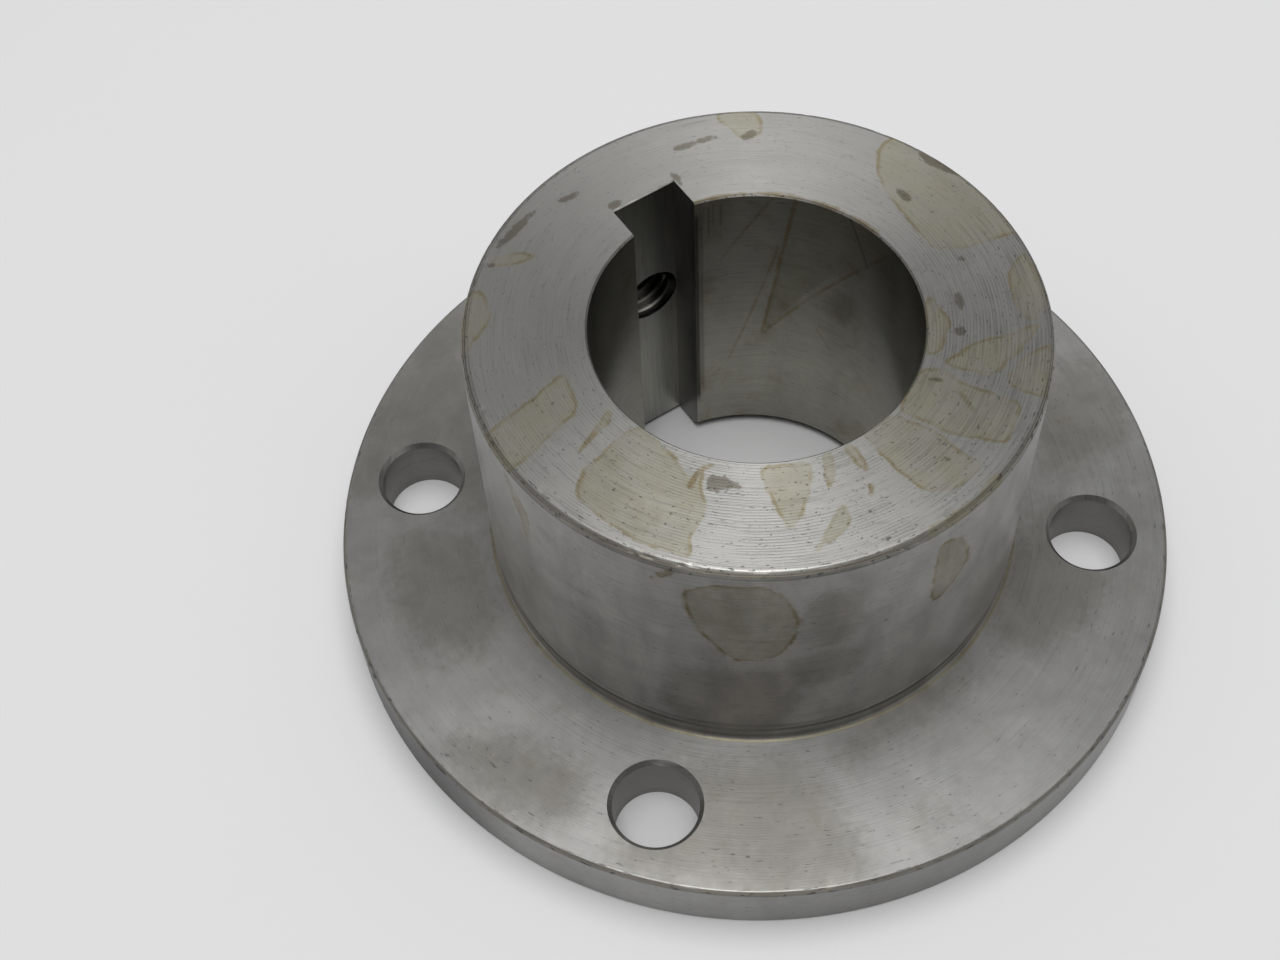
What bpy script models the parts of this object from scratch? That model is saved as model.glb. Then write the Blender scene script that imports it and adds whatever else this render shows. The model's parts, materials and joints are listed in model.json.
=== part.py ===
"""Flanged shaft hub: a flange and hub turned in one piece, with a keyed bore, four bolt holes and a set screw.

+Z is the bore's axis, from the flange's back face (z = 0) to the hub's nose.
+Y points from the axis to the keyway, and the set screw runs along Y through the keyway's floor.
All lengths are metres.
"""

import math

import bmesh
import bpy

MM = 0.001
INCH = 25.4 * MM

# Hub and flange
BORE_RADIUS = 1.6875 * INCH / 2
HUB_RADIUS = 37.5 * MM
FLANGE_RADIUS = 59.4 * MM
FLANGE_THICKNESS = 9.1 * MM
TOTAL_HEIGHT = 51.7 * MM

# Edges of the turned body
JUNCTION_FILLET = 0.8 * MM
RELIEF_DEPTH = 0.2 * MM
RELIEF_HEIGHT = 4.3 * MM
NOSE_ROUND = 1.1 * MM
RIM_ROUND = 0.8 * MM
BACK_RIM_CHAMFER = 0.3 * MM
BORE_NOSE_CHAMFER = 0.25 * MM
BORE_BACK_CHAMFER = 0.9 * MM
BACK_RELIEF_RADIUS = 30.0 * MM
BACK_RELIEF_DEPTH = 0.9 * MM

# Keyway, for a square key of 3/8 inch
KEYWAY_WIDTH = 0.375 * INCH
KEYWAY_FLOOR = 25.9 * MM
KEY_CLEARANCE = 0.15 * MM

# Bolt holes: four on one circle, each this far round from the keyway or from the side opposite it
BOLT_CIRCLE_RADIUS = 48.7 * MM
BOLT_HOLE_RADIUS = 5.83 * MM
BOLT_HOLE_CHAMFER = 0.6 * MM
BOLT_ANGLE_FROM_KEYWAY = 50.0

# Set screw, 3/8-16 by 3/8 inch long, and the tapped hole that holds it
THREAD_PITCH = INCH / 16
TAPPED_HOLE_RADIUS = 4.55 * MM
TAPPED_HOLE_CHAMFER = 0.5 * MM
TAPPED_HOLE_HEIGHT = 30.6 * MM
SCREW_RADIUS = 4.2 * MM
SCREW_LENGTH = 0.375 * INCH
SCREW_END_CHAMFER = 0.7 * MM
SCREW_CUP_RADIUS = 2.6 * MM
SCREW_CUP_DEPTH = 1.3 * MM
SOCKET_ACROSS_FLATS = 0.1875 * INCH
SOCKET_DEPTH = 4.6 * MM
SOCKET_DRILL_POINT = 0.9 * MM
TURNS_BACKED_OFF = 4

# Facets
BODY_SEGMENTS = 96
HOLE_SEGMENTS = 32
SCREW_SEGMENTS = 32
ROUND_STEPS = 3
CUTTER_OVERRUN = 2.0 * MM
SMOOTH_ANGLE = math.radians(30)

KEYWAY_AZIMUTH = 90.0


def clear_scene():
    for obj in list(bpy.data.objects):
        bpy.data.objects.remove(obj, do_unlink=True)


def make_material(name, colour, roughness, metallic):
    material = bpy.data.materials.new(name)
    material.use_nodes = True
    shader = material.node_tree.nodes["Principled BSDF"]
    shader.inputs["Base Color"].default_value = (*colour, 1.0)
    shader.inputs["Roughness"].default_value = roughness
    shader.inputs["Metallic"].default_value = metallic
    return material


def link_object(name, mesh):
    obj = bpy.data.objects.new(name, mesh)
    bpy.context.scene.collection.objects.link(obj)
    return obj


def shade_round(mesh):
    mesh.shade_smooth()
    mesh.set_sharp_from_angle(angle=SMOOTH_ANGLE)


def turned_mesh(name, profile, segments):
    """Turn a closed outline of (radius, height) points once about Z."""
    bm = bmesh.new()
    verts = [bm.verts.new((radius, 0.0, height)) for radius, height in profile]
    edges = [bm.edges.new((verts[i - 1], verts[i])) for i in range(len(verts))]
    bmesh.ops.spin(bm, geom=verts + edges, cent=(0, 0, 0), axis=(0, 0, 1), angle=math.tau,
                   steps=segments, use_merge=True)
    bmesh.ops.remove_doubles(bm, verts=bm.verts, dist=1e-7)
    on_axis = [edge for edge in bm.edges if not edge.link_faces]
    bmesh.ops.delete(bm, geom=on_axis, context="EDGES")
    bmesh.ops.recalc_face_normals(bm, faces=bm.faces)
    mesh = bpy.data.meshes.new(name)
    bm.to_mesh(mesh)
    bm.free()
    shade_round(mesh)
    return mesh


def arc(centre, radius, start_deg, end_deg, steps):
    """Points on a circle about centre, from the start angle to the end angle, both included."""
    points = []
    for i in range(steps + 1):
        angle = math.radians(start_deg + (end_deg - start_deg) * i / steps)
        points.append((centre[0] + radius * math.cos(angle), centre[1] + radius * math.sin(angle)))
    return points


def body_profile():
    """Half section of the flange and hub, from the nose down the outside and back up the bore."""
    nose_centre = (HUB_RADIUS - NOSE_ROUND, TOTAL_HEIGHT - NOSE_ROUND)
    relief_radius = HUB_RADIUS - RELIEF_DEPTH
    relief_top = FLANGE_THICKNESS + RELIEF_HEIGHT
    fillet_centre = (relief_radius + JUNCTION_FILLET, FLANGE_THICKNESS + JUNCTION_FILLET)
    rim_centre = (FLANGE_RADIUS - RIM_ROUND, FLANGE_THICKNESS - RIM_ROUND)
    outside = [
        *arc(nose_centre, NOSE_ROUND, 90, 0, ROUND_STEPS),
        (HUB_RADIUS, relief_top),
        (relief_radius, relief_top - RELIEF_DEPTH),
        *arc(fillet_centre, JUNCTION_FILLET, 180, 270, ROUND_STEPS),
        *arc(rim_centre, RIM_ROUND, 90, 0, ROUND_STEPS),
        (FLANGE_RADIUS, BACK_RIM_CHAMFER),
        (FLANGE_RADIUS - BACK_RIM_CHAMFER, 0.0),
        (BACK_RELIEF_RADIUS, 0.0),
        (BACK_RELIEF_RADIUS, BACK_RELIEF_DEPTH),
    ]
    bore = [
        (BORE_RADIUS + BORE_BACK_CHAMFER, BACK_RELIEF_DEPTH),
        (BORE_RADIUS, BACK_RELIEF_DEPTH + BORE_BACK_CHAMFER),
        (BORE_RADIUS, TOTAL_HEIGHT - BORE_NOSE_CHAMFER),
        (BORE_RADIUS + BORE_NOSE_CHAMFER, TOTAL_HEIGHT),
    ]
    return outside + bore


def make_cutter(name, mesh):
    cutter = link_object(name, mesh)
    cutter.hide_render = True
    cutter.display_type = "WIRE"
    return cutter


def cut(target, cutter):
    modifier = target.modifiers.new(cutter.name, "BOOLEAN")
    modifier.operation = "DIFFERENCE"
    modifier.object = cutter


def box_mesh(name, low, high):
    bm = bmesh.new()
    bmesh.ops.create_cube(bm, size=1.0)
    for vert in bm.verts:
        for axis in range(3):
            vert.co[axis] = low[axis] if vert.co[axis] < 0 else high[axis]
    mesh = bpy.data.meshes.new(name)
    bm.to_mesh(mesh)
    bm.free()
    return mesh


def keyway_cutter():
    half = KEYWAY_WIDTH / 2
    low = (-half, BORE_RADIUS / 2, -CUTTER_OVERRUN)
    high = (half, KEYWAY_FLOOR, TOTAL_HEIGHT + CUTTER_OVERRUN)
    return make_cutter("keyway_cutter", box_mesh("keyway_cutter", low, high))


def bolt_hole_cutters():
    """Four plain holes, each with a chamfer at the flange's front face."""
    mouth = FLANGE_THICKNESS + CUTTER_OVERRUN
    profile = [
        (0.0, mouth),
        (BOLT_HOLE_RADIUS + BOLT_HOLE_CHAMFER + CUTTER_OVERRUN, mouth),
        (BOLT_HOLE_RADIUS, FLANGE_THICKNESS - BOLT_HOLE_CHAMFER),
        (BOLT_HOLE_RADIUS, -CUTTER_OVERRUN),
        (0.0, -CUTTER_OVERRUN),
    ]
    mesh = turned_mesh("bolt_hole_cutter", profile, HOLE_SEGMENTS)
    cutters = []
    for side in (0, 180):
        for turn in (-BOLT_ANGLE_FROM_KEYWAY, BOLT_ANGLE_FROM_KEYWAY):
            azimuth = math.radians(KEYWAY_AZIMUTH + side + turn)
            cutter = make_cutter(f"bolt_hole_cutter_{len(cutters) + 1}", mesh)
            cutter.location = (BOLT_CIRCLE_RADIUS * math.cos(azimuth), BOLT_CIRCLE_RADIUS * math.sin(azimuth), 0)
            cutters.append(cutter)
    return cutters


def tapped_hole_cutter():
    """The set screw's hole, along local +Z, from inside the keyway out through the hub's side."""
    start = KEYWAY_FLOOR - CUTTER_OVERRUN
    end = HUB_RADIUS + CUTTER_OVERRUN
    profile = [
        (0.0, end),
        (TAPPED_HOLE_RADIUS + TAPPED_HOLE_CHAMFER + CUTTER_OVERRUN, end),
        (TAPPED_HOLE_RADIUS, HUB_RADIUS - TAPPED_HOLE_CHAMFER),
        (TAPPED_HOLE_RADIUS, start),
        (0.0, start),
    ]
    cutter = make_cutter("tapped_hole_cutter", turned_mesh("tapped_hole_cutter", profile, HOLE_SEGMENTS))
    cutter.rotation_euler = (math.radians(-90), 0, 0)
    cutter.location = (0, 0, TAPPED_HOLE_HEIGHT)
    return cutter


def make_flanged_hub():
    hub = link_object("flanged_hub", turned_mesh("flanged_hub", body_profile(), BODY_SEGMENTS))
    hub.data.materials.append(make_material("turned_steel", (0.40, 0.39, 0.37), 0.38, 1.0))
    cut(hub, keyway_cutter())
    for cutter in bolt_hole_cutters():
        cut(hub, cutter)
    cut(hub, tapped_hole_cutter())
    return hub


def screw_profile():
    """Half section of the set screw, tip at z = 0, with a cup point and both ends chamfered."""
    return [
        (0.0, SCREW_LENGTH),
        (SCREW_RADIUS - SCREW_END_CHAMFER, SCREW_LENGTH),
        (SCREW_RADIUS, SCREW_LENGTH - SCREW_END_CHAMFER),
        (SCREW_RADIUS, SCREW_RADIUS - SCREW_CUP_RADIUS),
        (SCREW_CUP_RADIUS, 0.0),
        (0.0, SCREW_CUP_DEPTH),
    ]


def socket_cutter(screw):
    """Hexagon socket with a shallow drill point, cut from the screw's outer end."""
    corner = SOCKET_ACROSS_FLATS / math.sqrt(3)
    floor = SCREW_LENGTH - SOCKET_DEPTH
    profile = [
        (0.0, SCREW_LENGTH + CUTTER_OVERRUN),
        (corner, SCREW_LENGTH + CUTTER_OVERRUN),
        (corner, floor),
        (0.0, floor - SOCKET_DRILL_POINT),
    ]
    cutter = make_cutter("socket_cutter", turned_mesh("socket_cutter", profile, 6))
    cutter.parent = screw
    return cutter


def make_set_screw():
    """The set screw, backed off by whole turns from the key, with its origin at its tip."""
    tip = KEYWAY_FLOOR - KEY_CLEARANCE + TURNS_BACKED_OFF * THREAD_PITCH
    screw = link_object("set_screw", turned_mesh("set_screw", screw_profile(), SCREW_SEGMENTS))
    screw.data.materials.append(make_material("black_oxide_steel", (0.035, 0.034, 0.036), 0.42, 0.9))
    screw.rotation_euler = (math.radians(-90), 0, 0)
    screw.location = (0, tip, TAPPED_HOLE_HEIGHT)
    cut(screw, socket_cutter(screw))
    return screw


clear_scene()
make_flanged_hub()
make_set_screw()
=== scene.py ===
"""Looks of the flanged shaft hub and its set screw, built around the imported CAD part.

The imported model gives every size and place. Shapes are made in millimetres in the part's own frame, and
scaled to metres at the end. +Z is the bore's axis and +Y points to the keyway.
"""

import json
import math

import bpy
import numpy as np
from mathutils import Matrix, Vector, noise


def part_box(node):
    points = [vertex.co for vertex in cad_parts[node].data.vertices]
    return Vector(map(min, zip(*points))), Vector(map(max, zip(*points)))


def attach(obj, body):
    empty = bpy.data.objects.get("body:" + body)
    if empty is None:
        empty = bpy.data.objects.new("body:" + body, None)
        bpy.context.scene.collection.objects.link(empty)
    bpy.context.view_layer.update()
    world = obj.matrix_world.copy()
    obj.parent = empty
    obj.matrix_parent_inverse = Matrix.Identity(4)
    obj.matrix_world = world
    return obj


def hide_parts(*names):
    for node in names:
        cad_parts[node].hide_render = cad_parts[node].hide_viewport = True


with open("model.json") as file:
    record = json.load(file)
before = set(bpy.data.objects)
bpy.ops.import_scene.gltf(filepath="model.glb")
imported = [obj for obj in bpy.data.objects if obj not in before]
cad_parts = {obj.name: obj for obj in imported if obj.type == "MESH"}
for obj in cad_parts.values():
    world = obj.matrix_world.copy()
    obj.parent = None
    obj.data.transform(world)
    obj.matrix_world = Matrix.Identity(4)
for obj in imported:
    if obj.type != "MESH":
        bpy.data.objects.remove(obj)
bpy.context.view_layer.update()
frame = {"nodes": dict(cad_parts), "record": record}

MM = 0.001

# ------------ sizes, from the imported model


def corner_mm(node):
    """The low and high corners of a CAD node's box, in millimetres."""
    low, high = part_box(node)
    return np.array(low) / MM, np.array(high) / MM


HUB_POINTS = np.array([v.co for v in frame["nodes"]["flanged_hub"].data.vertices], float) / MM
HUB_RADII = np.hypot(HUB_POINTS[:, 0], HUB_POINTS[:, 1])
HUB_HIGH = corner_mm("flanged_hub")[1]
SCREW_LOW, SCREW_HIGH = corner_mm("set_screw")
MOUNTS = {m["name"]: np.array(m["pos_m"]) / MM for m in frame["record"]["mounts"]}
OPENINGS = {o["name"]: np.array(o["box_m"]) / MM for o in frame["record"]["physics"]["openings"]}

TOTAL_HEIGHT = HUB_HIGH[2]
FLANGE_RADIUS = HUB_HIGH[0]
FLANGE_TOP = MOUNTS["flange_front"][2]
HUB_RADIUS = HUB_RADII[HUB_POINTS[:, 2] > 0.5 * TOTAL_HEIGHT].max()
BORE_RADIUS = HUB_RADII.min()
BACK_SEAT_RADIUS = HUB_RADII[HUB_POINTS[:, 2] < 0.01].min()
BACK_RELIEF_DEPTH = HUB_POINTS[HUB_RADII < BACK_SEAT_RADIUS - 0.5][:, 2].min()
KEYWAY_FLOOR = MOUNTS["keyway_floor"][1]
KEYWAY_HALF = MOUNTS["keyway_side_right"][0]
BOLT_CENTRES = [OPENINGS[name].mean(axis=0)[:2] for name in sorted(OPENINGS) if name.startswith("bolt_hole")]
# The hub's vertices nearest to a bolt hole's axis are on its wall
BOLT_RADIUS = np.hypot(*(HUB_POINTS[:, :2] - BOLT_CENTRES[0]).T).min()
SCREW_HEIGHT = (SCREW_LOW[2] + SCREW_HIGH[2]) / 2
SCREW_TIP = SCREW_LOW[1]
SCREW_LENGTH = SCREW_HIGH[1] - SCREW_LOW[1]

# ------------ details of the finish

SEGMENTS = 512
HOLE_SEGMENTS = 96
THREAD_SEGMENTS = 72

NOSE_EDGE = 1.05
RIM_EDGE = 0.6
FOOT_FILLET = 0.7
BACK_RIM_CHAMFER = 0.3
BORE_NOSE_CHAMFER = 0.25
BORE_BACK_CHAMFER = 0.9
BOLT_CHAMFER = 0.6
SUPPORT = 0.06
SHARP_DEG = 30
KEYWAY_EDGE_BREAK = 0.16

# How far cutting tools reach past the faces that they cut
OVERRUN = 1.0
LONG_OVERRUN = 2.0

# Dents knocked into the edges: where they are deepest and how far round they reach, in degrees, how hard the
# noise must hit to leave one, their depth for each unit of that, and the deepest one
DENT_AZIMUTH = 225
DENT_SPREAD = 70
DENT_THRESHOLD = 0.30
DENT_SCALE = 0.28
DENT_LIMIT = 0.12

# A turned edge broken by a file, with two fine steps left in it: (inwards from the side, down from the face,
# finish), as shares of the edge's size. The runs in the steps and the undercut near the bottom get a dark
# finish, painted shade in them.
BROKEN_EDGE = [
    (0.84, 0.02, "worn_edge"),
    (0.68, 0.10, "bright_edge"),
    (0.55, 0.24, "worn_edge"),
    (0.48, 0.26, "soiled_edge"),
    (0.34, 0.44, "worn_edge"),
    (0.26, 0.46, "soiled_edge"),
    (0.12, 0.66, "worn_edge"),
    (0.05, 0.80, "worn_edge"),
    (0.07, 0.90, "soiled_edge"),
    (0.00, 1.00, "worn_edge"),
]

# Relief turned into the foot of the hub's wall, from the top down: (depth below the wall, height above the
# flange, finish of the run that ends there). The grooves' runs get a dark finish, painted shade in them.
FOOT_GROOVES = [
    (0.00, 4.35, "turned_wall"),
    (0.24, 4.05, "relief_groove"),
    (0.20, 3.45, "turned_wall"),
    (0.08, 3.20, "turned_wall"),
    (0.20, 2.95, "relief_groove"),
    (0.34, 2.45, "turned_wall"),
    (0.22, 1.95, "relief_groove"),
]

THREAD_PITCH = 25.4 / 16
FLANK_TAN = math.tan(math.radians(30))
HOLE_THREAD = {"crest": 4.745, "root": 3.97, "crest_flat": 0.25}
SCREW_THREAD = {"crest": 4.66, "root": 3.75, "crest_flat": 0.16}
TAPPED_MOUTH_RADIUS = 5.3
SCREW_END_CHAMFER = 0.75
SCREW_CUP_RADIUS = 2.6
SCREW_CUP_DEPTH = 1.3
SOCKET_FLATS = 0.1875 * 25.4
SOCKET_DEPTH = 4.6
SOCKET_POINT = 0.9
SOCKET_MOUTH_MARGIN = 0.15
SOCKET_MOUTH_DEPTH = 0.7
BLANK_MARGIN = 0.3

# ------------ shapes


class Outline:
    """Half section of a turned shape. Each span, from one point to the next, has the name of its finish."""

    def __init__(self, radius, height):
        self.points = [(radius, height)]
        self.finishes = []

    def add(self, radius, height, finish):
        self.points.append((radius, height))
        self.finishes.append(finish)

    def line(self, radius, height, finish, step=None):
        """A straight run, with a support point close to each end so that its shading stays flat."""
        start = np.array(self.points[-1])
        end = np.array((radius, height))
        length = float(np.linalg.norm(end - start))
        if step is None or length < 4 * SUPPORT:
            self.add(radius, height, finish)
            return
        count = max(1, round(length / step))
        shares = [SUPPORT / length, *(i / count for i in range(1, count)), 1 - SUPPORT / length, 1.0]
        for share in shares:
            self.add(*(start + (end - start) * share), finish)

    def arc(self, centre, radius, start, end, steps, finish):
        for i in range(1, steps + 1):
            angle = math.radians(start + (end - start) * i / steps)
            self.add(centre[0] + radius * math.cos(angle), centre[1] + radius * math.sin(angle), finish)

    def broken_edge(self, size):
        """From the outer end of a flat face down on to the side below it."""
        radius, height = self.points[-1]
        for inwards, down, finish in BROKEN_EDGE:
            self.add(radius + size * (1 - inwards), height - size * down, finish)

    def close(self, finish):
        self.finishes.append(finish)


def link(name, mesh):
    """A new object in the scene that holds the mesh, camera or light given."""
    obj = bpy.data.objects.new(name, mesh)
    bpy.context.scene.collection.objects.link(obj)
    return obj


def mesh_object(name, verts, faces, finishes):
    """A mesh whose faces each have a named finish."""
    palette = sorted(set(finishes))
    mesh = bpy.data.meshes.new(name)
    mesh.from_pydata([tuple(v) for v in verts], [], faces)
    for finish in palette:
        mesh.materials.append(MATERIALS[finish])
    mesh.polygons.foreach_set("material_index", [palette.index(finish) for finish in finishes])
    mesh.update()
    return link(name, mesh)


def turned(name, outline, segments):
    """Turns an outline about the axis: a closed one into a ring, and an open one into a solid.

    An open one is listed from the top down, and gets a flat cap on each end that is off the axis.
    """
    verts, rows = [], []
    for radius, height in outline.points:
        if radius == 0:
            rows.append([len(verts)] * segments)
            verts.append((0.0, 0.0, height))
            continue
        rows.append(list(range(len(verts), len(verts) + segments)))
        for k in range(segments):
            angle = math.tau * k / segments
            verts.append((radius * math.cos(angle), radius * math.sin(angle), height))
    faces, finishes = [], []
    for i, finish in enumerate(outline.finishes):
        above, below = rows[i], rows[(i + 1) % len(rows)]
        for k in range(segments):
            m = (k + 1) % segments
            faces.append(tuple(dict.fromkeys((above[k], below[k], below[m], above[m]))))
            finishes.append(finish)
    if len(outline.finishes) < len(rows):
        for end, step in ((0, 1), (-1, -1)):
            if outline.points[end][0] > 0:
                faces.append(tuple(rows[end][::step]))
                finishes.append(outline.finishes[end])
    return mesh_object(name, verts, faces, finishes)


def lofted_prism(name, sections, finishes):
    """A solid through flat sections, each (height, points), listed from the bottom up.

    Points run anticlockwise. Each space between two sections has a list of finishes, one for each side.
    """
    size = len(sections[0][1])
    verts = [(x, y, height) for height, points in sections for x, y in points]
    faces = [tuple(reversed(range(size)))]
    for i in range(len(sections) - 1):
        for k in range(size):
            m = (k + 1) % size
            faces.append((i * size + k, i * size + m, (i + 1) * size + m, (i + 1) * size + k))
    top = (len(sections) - 1) * size
    faces.append(tuple(range(top, top + size)))
    by_face = [finishes[0][0], *(finish for level in finishes for finish in level), finishes[-1][0]]
    return mesh_object(name, verts, faces, by_face)


def threaded_rod(name, thread, start, end, finish, root_finish):
    """A right-hand screw thread along +Z, as one solid, with root_finish between its turns.

    Every rod has its crests at the same heights, counted from the keyway's floor, so that threads mesh.
    """
    flank = (thread["crest"] - thread["root"]) * FLANK_TAN
    crest_middle = flank + thread["crest_flat"] / 2
    section = [
        (thread["root"], -crest_middle),
        (thread["crest"], -thread["crest_flat"] / 2),
        (thread["crest"], thread["crest_flat"] / 2),
        (thread["root"], crest_middle),
    ]
    size = len(section)
    first_turn = math.floor((start - KEYWAY_FLOOR) / THREAD_PITCH) - 1
    turns = math.ceil((end - start) / THREAD_PITCH) + 2
    base = KEYWAY_FLOOR + first_turn * THREAD_PITCH
    steps = turns * THREAD_SEGMENTS
    verts = []
    for i in range(steps + 1):
        angle = math.tau * i / THREAD_SEGMENTS
        rise = base + THREAD_PITCH * i / THREAD_SEGMENTS
        for radius, height in section:
            verts.append((radius * math.cos(angle), radius * math.sin(angle), rise + height))

    def at(i, k):
        return i * size + k

    faces = []
    for i in range(steps):
        for k in range(size - 1):
            faces.append((at(i, k), at(i + 1, k), at(i + 1, k + 1), at(i, k + 1)))
    finishes = [finish] * len(faces)
    last = size - 1
    for i in range(steps - THREAD_SEGMENTS):
        j = i + THREAD_SEGMENTS
        faces.append((at(i, last), at(i + 1, last), at(j + 1, 0), at(j, 0)))
        finishes.append(root_finish)
    top_start = steps - THREAD_SEGMENTS
    bottom_axis = len(verts)
    top_axis = bottom_axis + THREAD_SEGMENTS + 1
    for step, k in ((0, 0), (top_start, last)):
        for i in range(THREAD_SEGMENTS + 1):
            verts.append((0.0, 0.0, verts[at(step + i, k)][2]))
    for i in range(THREAD_SEGMENTS):
        faces.append((at(i, 0), bottom_axis + i, bottom_axis + i + 1, at(i + 1, 0)))
        j = top_start + i
        faces.append((at(j, last), at(j + 1, last), top_axis + i + 1, top_axis + i))
    bottom_cap = [at(0, k) for k in range(size)] + [at(THREAD_SEGMENTS, 0)]
    bottom_cap += [bottom_axis + i for i in reversed(range(THREAD_SEGMENTS + 1))]
    top_cap = [at(top_start, last)] + [at(steps, k) for k in range(size)]
    top_cap += [top_axis + i for i in reversed(range(THREAD_SEGMENTS + 1))]
    faces.append(tuple(bottom_cap))
    faces.append(tuple(reversed(top_cap)))
    finishes += [finish] * (len(faces) - len(finishes))
    return mesh_object(name, verts, faces, finishes)


def lay_along_y(obj):
    """Turns local +Z to the part's +Y, at the set screw's height."""
    obj.data.transform(Matrix.Translation((0, 0, SCREW_HEIGHT)) @ Matrix.Rotation(math.radians(-90), 4, "X"))
    return obj


def combine(target, tools, operation):
    """Applies one boolean per tool to target, then removes the tools. New faces keep the tool's finish."""
    for tool in tools:
        modifier = target.modifiers.new(tool.name, "BOOLEAN")
        modifier.operation = operation
        modifier.solver = "EXACT"
        modifier.material_mode = "TRANSFER"
        modifier.object = tool
    graph = bpy.context.evaluated_depsgraph_get()
    mesh = bpy.data.meshes.new_from_object(target.evaluated_get(graph), depsgraph=graph)
    target.modifiers.clear()
    spent = target.data
    target.data = mesh
    bpy.data.meshes.remove(spent)
    for tool in tools:
        shape = tool.data
        bpy.data.objects.remove(tool)
        bpy.data.meshes.remove(shape)


def finish_mesh(obj):
    """Scales to metres and shades smoothly, except across sharp edges."""
    obj.data.transform(Matrix.Scale(MM, 4))
    obj.data.shade_smooth()
    obj.data.set_sharp_from_angle(angle=math.radians(SHARP_DEG))
    obj.data.update()


# ------------ flange and hub


def hub_outline():
    """From the inner edge of the nose face outwards, down the outside, and back up the bore."""
    top = TOTAL_HEIGHT
    outline = Outline(BORE_RADIUS + BORE_NOSE_CHAMFER, top)
    outline.line(HUB_RADIUS - NOSE_EDGE, top, "faced_nose", 0.5)
    outline.broken_edge(NOSE_EDGE)
    depth, above, finish = FOOT_GROOVES[0]
    outline.line(HUB_RADIUS - depth, FLANGE_TOP + above, finish, 1.4)
    for depth, above, finish in FOOT_GROOVES[1:]:
        outline.line(HUB_RADIUS - depth, FLANGE_TOP + above, finish)
    foot = HUB_RADIUS - FOOT_GROOVES[-1][0]
    outline.line(foot, FLANGE_TOP + FOOT_FILLET, "turned_wall", 0.6)
    fillet_centre = (foot + FOOT_FILLET, FLANGE_TOP + FOOT_FILLET)
    outline.arc(fillet_centre, FOOT_FILLET, 180, 230, 3, "turned_wall")
    outline.arc(fillet_centre, FOOT_FILLET, 230, 270, 3, "foot_fillet")
    outline.line(FLANGE_RADIUS - RIM_EDGE, FLANGE_TOP, "faced_flange", 1.1)
    outline.broken_edge(RIM_EDGE)
    outline.line(FLANGE_RADIUS, BACK_RIM_CHAMFER, "turned_rim", 2.0)
    outline.line(FLANGE_RADIUS - BACK_RIM_CHAMFER, 0.0, "worn_edge")
    outline.line(BACK_SEAT_RADIUS, 0.0, "faced_back", 3.5)
    outline.line(BACK_SEAT_RADIUS, BACK_RELIEF_DEPTH, "worn_edge")
    outline.line(BORE_RADIUS + BORE_BACK_CHAMFER, BACK_RELIEF_DEPTH, "faced_back", 3.5)
    outline.line(BORE_RADIUS, BACK_RELIEF_DEPTH + BORE_BACK_CHAMFER, "worn_edge")
    outline.line(BORE_RADIUS, top - BORE_NOSE_CHAMFER, "bored_wall", 1.6)
    outline.close("worn_edge")
    return outline


def keyway_tool():
    """The keyway's void. Its edges break open at the nose face, and the floor's edge there is ragged."""
    half, floor, inner = KEYWAY_HALF, KEYWAY_FLOOR, BORE_RADIUS - 2 * LONG_OVERRUN
    side_steps, floor_steps = 6, 36
    top = TOTAL_HEIGHT
    points, outward = [], []
    for i in range(side_steps):
        points.append((half, inner + (floor - inner) * i / side_steps))
        outward.append((1.0, 0.0))
    for i in range(floor_steps + 1):
        points.append((half - 2 * half * i / floor_steps, floor))
        sideways = 1.0 if i == 0 else -1.0 if i == floor_steps else 0.0
        outward.append((sideways, 1.0))
    for i in range(side_steps):
        points.append((-half, floor - (floor - inner) * (i + 1) / side_steps))
        outward.append((-1.0, 0.0))
    broken = []
    for (x, y), (ox, oy) in zip(points, outward):
        ragged = 0.5 + 0.5 * noise.noise(Vector((x * 2.3, y * 0.7, 4.0)))
        broken.append((x + ox * 0.08, y + oy * (0.06 + 0.30 * ragged)))
    sections = [(-LONG_OVERRUN, points), (top - KEYWAY_EDGE_BREAK, points)]
    sections += [(top + 0.01, broken), (top + LONG_OVERRUN, broken)]
    walls = ["broached_side"] * side_steps + ["broached_floor"] * floor_steps
    walls += ["broached_side"] * (side_steps + 1)
    burr = ["bright_burr"] * len(points)
    return lofted_prism("keyway_tool", sections, [walls, burr, burr])


def bolt_hole_tool(index, centre):
    """A plain hole through the flange, with a chamfer at its top."""
    outline = Outline(BOLT_RADIUS + BOLT_CHAMFER + OVERRUN, FLANGE_TOP + OVERRUN)
    outline.line(BOLT_RADIUS + BOLT_CHAMFER, FLANGE_TOP, "drilled_hole")
    outline.line(BOLT_RADIUS, FLANGE_TOP - BOLT_CHAMFER, "hole_edge")
    outline.line(BOLT_RADIUS, -OVERRUN, "drilled_hole", 1.5)
    tool = turned(f"bolt_hole_tool_{index}", outline, HOLE_SEGMENTS)
    tool.data.transform(Matrix.Translation((centre[0], centre[1], 0)))
    return tool


def tapped_hole_tools():
    """The thread itself, then the cone at its outer mouth."""
    start, end = KEYWAY_FLOOR - 1.5 * OVERRUN, HUB_RADIUS + LONG_OVERRUN
    thread = threaded_rod("tapped_tool", HOLE_THREAD, start, end, "tapped_hole", "tapped_crest")
    mouth = Outline(TAPPED_MOUTH_RADIUS + LONG_OVERRUN, end)
    slope = TAPPED_MOUTH_RADIUS - HOLE_THREAD["root"] + 0.2
    mouth.line(TAPPED_MOUTH_RADIUS - slope, HUB_RADIUS - slope, "tapped_hole")
    return [lay_along_y(tool) for tool in (thread, turned("mouth_tool", mouth, HOLE_SEGMENTS))]


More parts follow.
